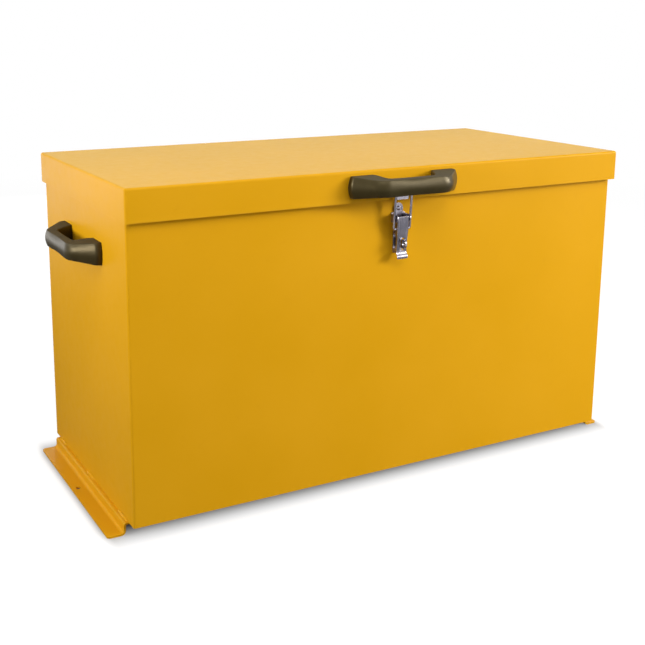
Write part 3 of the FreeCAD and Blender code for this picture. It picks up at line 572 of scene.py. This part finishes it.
def lever_left_half(s):
    """Points (x, depth) of the section at a length s, from the left cheek to the slot."""
    half = LEVER_HALF
    half -= LEVER_WAIST * smooth(*LEVER_WAIST_SPAN, s)
    half += LEVER_FLARE * smooth(*LEVER_FLARE_SPAN, s)
    cheek = CHEEK_DEPTH
    cheek -= CHEEK_STEP * smooth(*CHEEK_STEP_SPAN, s)
    cheek -= CHEEK_RUNOUT * smooth(*CHEEK_RUNOUT_SPAN, s)
    cheek = min(cheek, CHEEK_DEPTH * smooth(*CHEEK_RISE_SPAN, s))
    radius = LEVER_CORNER
    drop = max(cheek, radius) - radius
    points = [(-half, radius + drop * (1 - step / CHEEK_STEPS)) for step in range(CHEEK_STEPS)]
    for step in range(CORNER_STEPS + 1):
        turn = math.radians(90 * step / CORNER_STEPS)
        points.append((-half + radius - radius * math.cos(turn), radius - radius * math.sin(turn)))
    flat_half = half - radius
    points += [(-flat_half + (flat_half - SLOT_HALF) * share, 0.0) for share in QUARTERS]
    points.append((-SLOT_HALF, 0.0))
    return points


def lever_mesh():
    path = rounded_path(LEVER_SIDE, arc_steps=8, run_steps=24)
    total = sum((b - a).length for a, b in zip(path, path[1:]))
    over_slot = [(-SLOT_HALF + 2 * SLOT_HALF * share, 0.0) for share in QUARTERS]
    rings = []
    for row in range(LEVER_ROWS + 1):
        share = row / LEVER_ROWS
        spot = at_share(path, share)
        after = at_share(path, min(1.0, share + LEVER_PROBE))
        before = at_share(path, max(0.0, share - LEVER_PROBE))
        ahead = (after - before).normalized()
        inward = Vector((ahead.y, -ahead.x))
        inward = inward if inward.x < 0 else -inward
        left = lever_left_half(total * share)
        right = [(-x, depth) for x, depth in reversed(left)]
        ring = []
        for x, depth in left + over_slot + right:
            point = spot + inward * depth
            ring.append((x, FRONT_Y - point.x, PIVOT_Z + point.y))
        rings.append(ring)
    verts, faces = loft(rings, closed=False)

    slot_columns = range(len(left) - 1, len(left) + len(over_slot))
    kept = []
    for quad in faces:
        row, column = divmod(quad[0], len(rings[0]))
        middle = total * (row + 0.5) / LEVER_ROWS
        if column not in slot_columns or not SLOT_SPAN[0] <= middle <= SLOT_SPAN[1]:
            kept.append(quad)

    lean = Matrix.Rotation(math.radians(LEVER_LEAN), 3, "X")
    pivot = Vector((0, FRONT_Y - PIVOT_OUT, PIVOT_Z))
    verts = [pivot + lean @ (Vector(v) - pivot) for v in verts]
    return mesh_of("latch_lever_pressing", verts, kept)


def make_lever():
    lever = piece("latch_lever_pressing", lever_mesh(), "latch_lever")
    thick = lever.modifiers.new("sheet", "SOLIDIFY")
    thick.thickness = LEVER_SHEET * MM
    thick.offset = -1.0
    thick.use_even_offset = True
    soft = lever.modifiers.new("edges", "BEVEL")
    soft.width = LEVER_EDGE * MM
    soft.segments = 2
    soft.limit_method = "ANGLE"
    soft.angle_limit = math.radians(LEVER_SHARP)


make_lever()


# ---- Stage: pale floor that keeps the shadow, and a white surround, in metres
WHITE = (1, 1, 1, 1)
PAPER = (0.20, 0.20, 0.20, 1)
AMBIENT = 0.04
FLOOR_REACH = 40.0
FLOOR_GLOW = 0.90
# Distances over which the floor turns to plain white, and over which mirrors see it white
FLOOR_WHITE_SPAN = (1.2, 3.6)
FLOOR_MIRROR_SPAN = (1.2, 2.6)
# Half size of the unlit ground under the box, and how fast its edge brightens
SHADE_HALF = (0.4955, 0.15, 0)
SHADE_EDGE = (40.0, 11.0, 0)


def floor_material():
    made = bpy.data.materials.new("studio_floor")
    made.use_nodes = True
    tree = made.node_tree
    tree.nodes.clear()
    place = put(tree, "ShaderNodeTexCoord").outputs["Object"]
    far = ramp(tree, vector_node(tree, "LENGTH", place), *FLOOR_WHITE_SPAN)
    outside = vector_node(tree, "SUBTRACT", vector_node(tree, "ABSOLUTE", place), SHADE_HALF)
    outside = vector_node(tree, "MAXIMUM", outside, (0, 0, 0))
    gap = vector_node(tree, "LENGTH", outside)
    eased = vector_node(tree, "LENGTH", vector_node(tree, "MULTIPLY", outside, SHADE_EDGE))
    open_floor = ramp(tree, eased, 0.0, 1.0, interpolation_type="SMOOTHSTEP")

    direct = ramp(tree, far, 0.0, 1.0, to_low=FLOOR_GLOW, to_high=1.0)
    direct = math_node(tree, "MULTIPLY", open_floor, direct)
    direct = math_node(tree, "MULTIPLY", direct, ray_mask(tree, "Camera"))
    mirror = ray_mask(tree, "Glossy", "Transmission")
    mirrored = math_node(tree, "MULTIPLY", mirror, ramp(tree, gap, *FLOOR_MIRROR_SPAN))
    strength = math_node(tree, "MAXIMUM", direct, mirrored)

    glow = put(tree, "ShaderNodeEmission", {"Color": WHITE, "Strength": strength}).outputs[0]
    paper = put(tree, "ShaderNodeBsdfDiffuse", {"Color": PAPER}).outputs[0]
    near = put(tree, "ShaderNodeAddShader", {0: paper, 1: glow}).outputs[0]
    top = put(tree, "ShaderNodeMixShader", {0: far, 1: near, 2: glow}).outputs[0]
    clear = put(tree, "ShaderNodeBsdfTransparent").outputs[0]
    below = put(tree, "ShaderNodeNewGeometry").outputs["Backfacing"]
    sided = put(tree, "ShaderNodeMixShader", {0: below, 1: top, 2: clear}).outputs[0]
    put(tree, "ShaderNodeOutputMaterial", {"Surface": sided})
    return made


def make_floor():
    mesh = bpy.data.meshes.new("studio_floor")
    signs = ((-1, -1), (1, -1), (1, 1), (-1, 1))
    corners = [(x * FLOOR_REACH, y * FLOOR_REACH, 0) for x, y in signs]
    mesh.from_pydata(corners, [], [(0, 1, 2, 3)])
    mesh.materials.append(floor_material())
    floor = bpy.data.objects.new("studio_floor", mesh)
    bpy.context.scene.collection.objects.link(floor)


def make_world():
    world = bpy.data.worlds.new("studio")
    world.use_nodes = True
    tree = world.node_tree
    tree.nodes.clear()
    seen = ray_mask(tree, "Camera", "Glossy", "Transmission")
    strength = ramp(tree, seen, 0.0, 1.0, to_low=AMBIENT, to_high=1.0)
    back = put(tree, "ShaderNodeBackground", {"Color": WHITE, "Strength": strength})
    put(tree, "ShaderNodeOutputWorld", {"Surface": back.outputs[0]})
    bpy.context.scene.world = world


# ---- Lamps: places, aims and sizes in metres, power in watts, spread in degrees
Lamp = namedtuple("Lamp", "name place aim power width height spread", defaults=(180.0,))
LAMPS = [
    Lamp("key", (2.95, -2.3, 1.27), (0.0, -0.1, 0.3), 124.0, 1.0, 1.0),
    Lamp("front_fill", (1.55, -2.4, 2.0), (0.0, -0.1, 0.4), 18.0, 0.6, 0.5),
    Lamp("near_fill", (-0.3, -1.5, 1.9), (-0.1, -0.2, 0.5), 12.0, 1.2, 0.8),
    Lamp("overhead", (-0.2, 0.2, 2.9), (0.0, 0.0, 0.3), 12.0, 2.6, 2.0),
    Lamp("right_low", (2.9, -2.7, 0.30), (0.40, -0.2, 0.35), 6.0, 1.4, 0.5),
    Lamp("left_high", (-2.4, 0.5, 1.9), (-0.3, 0.0, 0.4), 17.0, 1.6, 1.6),
    Lamp("left_grid", (-2.6, -0.40, 0.9), (-0.47, -0.12, 0.74), 7.3, 0.9, 0.6, spread=70.0),
    Lamp("left_rear", (-1.3, 2.4, 0.28), (-0.47, 0.1, 0.5), 1.8, 1.0, 0.5),
    Lamp("back", (1.4, 1.75, 3.1), (0.0, 0.0, 0.4), 14.0, 1.0, 1.0),
    Lamp("rear_fill", (0.95, 2.7, 0.24), (0.0, 0.2, 0.26), 42.0, 1.3, 0.4),
]


def make_lamp(row):
    data = bpy.data.lights.new(row.name, "AREA")
    data.shape = "RECTANGLE"
    data.size = row.width
    data.size_y = row.height
    data.energy = row.power
    data.spread = math.radians(row.spread)
    obj = bpy.data.objects.new(row.name, data)
    bpy.context.scene.collection.objects.link(obj)
    obj.location = row.place
    obj.rotation_mode = "QUATERNION"
    obj.rotation_quaternion = (Vector(row.aim) - Vector(row.place)).to_track_quat("-Z", "Y")


# ---- Camera, fitted to the lid's and body's corners in the photograph
FRAME_PX = 645.0
FOCAL_PX = 1031.2
SENSOR_MM = 36.0
CAMERA_SHIFT = (0.05, -0.14)
CAMERA_PLACE = (-0.950, -1.605, 0.788)
CAMERA_YAW_PITCH_ROLL = (28.27, 11.76, 0.24)


def make_camera():
    data = bpy.data.cameras.new("camera")
    data.sensor_width = SENSOR_MM
    data.lens = FOCAL_PX * SENSOR_MM / FRAME_PX
    data.shift_x, data.shift_y = CAMERA_SHIFT
    yaw, pitch, roll = (math.radians(angle) for angle in CAMERA_YAW_PITCH_ROLL)
    level = math.cos(pitch)
    forward = Vector((math.sin(yaw) * level, math.cos(yaw) * level, -math.sin(pitch)))
    right = Vector((math.cos(yaw), -math.sin(yaw), 0))
    up = right.cross(forward)
    tilted = right * math.cos(roll) + up * math.sin(roll)
    lifted = up * math.cos(roll) - right * math.sin(roll)
    camera = bpy.data.objects.new("camera", data)
    bpy.context.scene.collection.objects.link(camera)
    turn = Matrix((tilted, lifted, -forward)).transposed().to_4x4()
    camera.matrix_world = Matrix.Translation(Vector(CAMERA_PLACE)) @ turn
    bpy.context.scene.camera = camera


make_floor()
make_world()
for lamp_row in LAMPS:
    make_lamp(lamp_row)
make_camera()
bpy.context.scene.view_settings.view_transform = "Standard"
